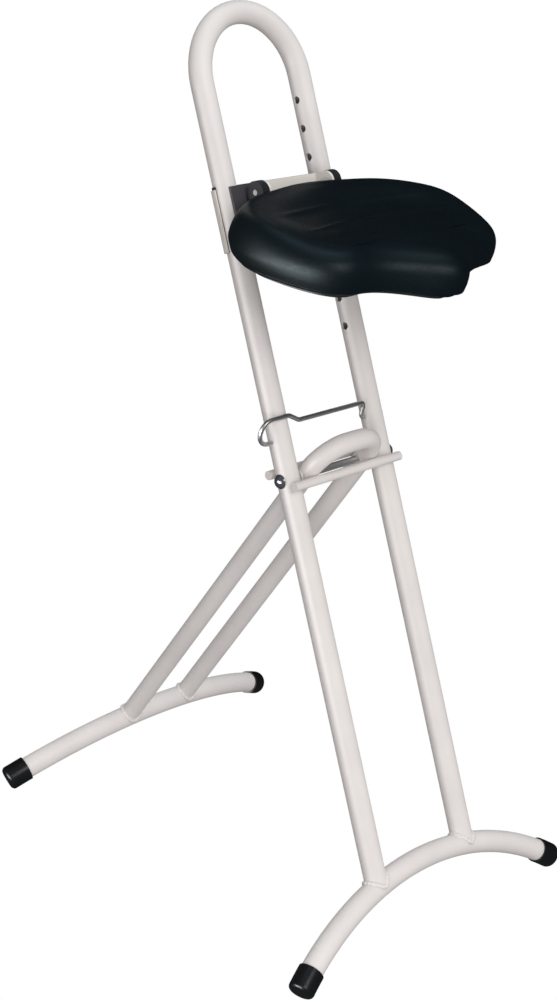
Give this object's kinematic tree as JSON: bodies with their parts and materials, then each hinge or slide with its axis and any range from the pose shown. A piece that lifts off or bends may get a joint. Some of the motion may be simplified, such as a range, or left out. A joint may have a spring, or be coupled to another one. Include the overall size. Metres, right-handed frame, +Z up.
{
  "type": "perch stool",
  "caption": "Folding perch stool: leaning tube loop, hinged rear legs, and a saddle seat on a carriage that slides on the loop and folds up.",
  "frame": {"origin": "middle of the footprint's box, on the floor", "axes": "+Z up; the sitter faces -Y; the catch's finger loop is on the -X side"},
  "size_m": [0.4374, 0.516, 0.9225],
  "materials": {
    "frame_paint": "satin",
    "bracket_paint": "satin",
    "black_rubber": "matte",
    "dark_plastic": "satin",
    "liner_plastic": "matte",
    "dark_cap": "gloss",
    "steel": "satin",
    "zinc_wire": "satin",
    "seat_foam": "satin"
  },
  "bodies": {
    "main_frame": {"main_tube": "frame_paint", "front_foot_tube": "frame_paint", "front_stop_rod": "frame_paint", "rear_stop_rod": "frame_paint", "front_left_foot_cap": "black_rubber", "front_right_foot_cap": "black_rubber", "pivot_axle": "steel", "left_axle_cap": "dark_cap", "right_axle_cap": "dark_cap", "left_pivot_spacer": "liner_plastic", "right_pivot_spacer": "liner_plastic"},
    "rear_frame": {"rear_tube": "frame_paint", "rear_foot_tube": "frame_paint", "rear_left_foot_cap": "black_rubber", "rear_right_foot_cap": "black_rubber"},
    "catch": {"wire_catch": "zinc_wire"},
    "carriage": {"front_slider": "dark_plastic", "slider_liner": "liner_plastic", "clamp_plate": "bracket_paint", "seat_bracket": "bracket_paint", "clamp_bolts": "steel", "clamp_nuts": "steel", "hinge_pins": "steel", "lock_spring": "steel"},
    "left_pin": {"left_lock_pin": "steel", "left_release_knob": "dark_plastic"},
    "right_pin": {"right_lock_pin": "steel", "right_release_knob": "dark_plastic"},
    "seat": {"seat_cushion": "seat_foam", "seat_base": "dark_plastic", "seat_screws": "steel"}
  },
  "joints": [
    {"name": "frame_fold", "type": "hinge", "parent": "main_frame", "child": "rear_frame", "pos_m": [0, -0.01578, 0.46984], "axis": [-1, 0, 0], "range_deg": [0, 51.5]},
    {"name": "catch_lift", "type": "hinge", "parent": "main_frame", "child": "catch", "pos_m": [0, 0.00296, 0.50743], "axis": [-1, 0, 0], "range_deg": [-115.3, 0]},
    {"name": "carriage_slide", "type": "slide", "parent": "main_frame", "child": "carriage", "axis": [0, 0.4462, 0.8949], "range_m": [-0.1555, 0.0933]},
    {"name": "seat_tilt", "type": "hinge", "parent": "carriage", "child": "seat", "pos_m": [0, 0.09141, 0.75095], "axis": [-1, 0, 0], "range_deg": [0, 115]},
    {"name": "left_pin_slide", "type": "slide", "parent": "carriage", "child": "left_pin", "axis": [-1, 0, 0], "range_m": [0, 0.007]},
    {"name": "right_pin_slide", "type": "slide", "parent": "carriage", "child": "right_pin", "axis": [1, 0, 0], "range_m": [0, 0.007]}
  ],
  "couplings": [
    {"joint": "right_pin_slide", "follows": "left_pin_slide", "ratio": 1}
  ]
}
